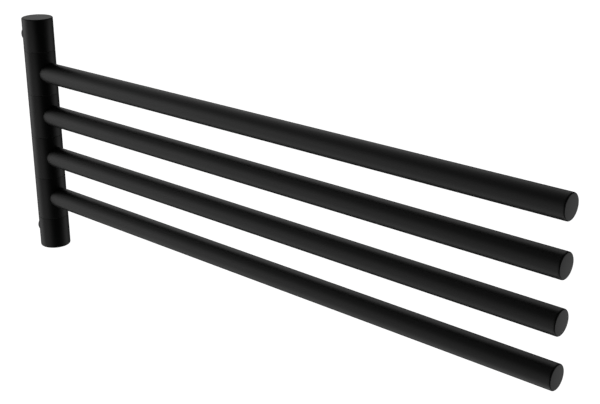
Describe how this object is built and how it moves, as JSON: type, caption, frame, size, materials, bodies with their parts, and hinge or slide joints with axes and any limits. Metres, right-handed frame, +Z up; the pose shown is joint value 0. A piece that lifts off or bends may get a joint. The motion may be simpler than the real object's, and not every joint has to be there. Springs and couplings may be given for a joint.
{
  "type": "towel rack",
  "caption": "Wall-mounted towel rack: round tubular arms that each swivel about one slim upright post, finished in matt black.",
  "frame": {"origin": "on the wall's surface, midway between the two wall-screw holes", "axes": "+Z up along the post, +Y into the wall, so at rest the arms point out of the wall along -Y; +X is to the right of someone who faces the wall"},
  "size_m": [0.022, 0.438, 0.173],
  "materials": {
    "black_powder_coat": "fine matt black powder coat on steel",
    "black_boss_coat": "matt black coat on turned steel",
    "black_oxide_screw": "black oxide on hardened steel",
    "black_nylon": "plain black nylon",
    "natural_acetal": "plain white acetal",
    "stainless_steel": "ground stainless steel",
    "spring_steel": "oiled spring steel",
    "plain_aluminium": "as-turned aluminium"
  },
  "bodies": {
    "root": {"axle": "stainless_steel", "disc_spring": "spring_steel", "upper_end_block": "black_powder_coat", "lower_end_block": "black_powder_coat", "upper_wall_boss": "black_boss_coat", "lower_wall_boss": "black_boss_coat", "upper_set_screw": "black_oxide_screw", "lower_set_screw": "black_oxide_screw", "thrust_washer_1": "black_nylon", "thrust_washer_2": "black_nylon", "thrust_washer_3": "black_nylon", "thrust_washer_4": "black_nylon", "thrust_washer_5": "black_nylon"},
    "swing_arm_1": {"swivel_hub_1": "black_powder_coat", "upper_bush_1": "natural_acetal", "lower_bush_1": "natural_acetal", "arm_stud_1": "stainless_steel", "arm_root_plug_1": "plain_aluminium", "arm_tube_1": "black_powder_coat", "arm_end_cap_1": "black_powder_coat"},
    "swing_arm_2": {"swivel_hub_2": "black_powder_coat", "upper_bush_2": "natural_acetal", "lower_bush_2": "natural_acetal", "arm_stud_2": "stainless_steel", "arm_root_plug_2": "plain_aluminium", "arm_tube_2": "black_powder_coat", "arm_end_cap_2": "black_powder_coat"},
    "swing_arm_3": {"swivel_hub_3": "black_powder_coat", "upper_bush_3": "natural_acetal", "lower_bush_3": "natural_acetal", "arm_stud_3": "stainless_steel", "arm_root_plug_3": "plain_aluminium", "arm_tube_3": "black_powder_coat", "arm_end_cap_3": "black_powder_coat"},
    "swing_arm_4": {"swivel_hub_4": "black_powder_coat", "upper_bush_4": "natural_acetal", "lower_bush_4": "natural_acetal", "arm_stud_4": "stainless_steel", "arm_root_plug_4": "plain_aluminium", "arm_tube_4": "black_powder_coat", "arm_end_cap_4": "black_powder_coat"}
  },
  "joints": [
    {"name": "arm_1_swivel", "type": "hinge", "parent": "root", "child": "swing_arm_1", "pos_m": [0, -0.013, 0.04725], "axis": [0, 0, 1], "range_deg": [-90, 90]},
    {"name": "arm_2_swivel", "type": "hinge", "parent": "root", "child": "swing_arm_2", "pos_m": [0, -0.013, 0.01575], "axis": [0, 0, 1], "range_deg": [-90, 90]},
    {"name": "arm_3_swivel", "type": "hinge", "parent": "root", "child": "swing_arm_3", "pos_m": [0, -0.013, -0.01575], "axis": [0, 0, 1], "range_deg": [-90, 90]},
    {"name": "arm_4_swivel", "type": "hinge", "parent": "root", "child": "swing_arm_4", "pos_m": [0, -0.013, -0.04725], "axis": [0, 0, 1], "range_deg": [-90, 90]}
  ]
}
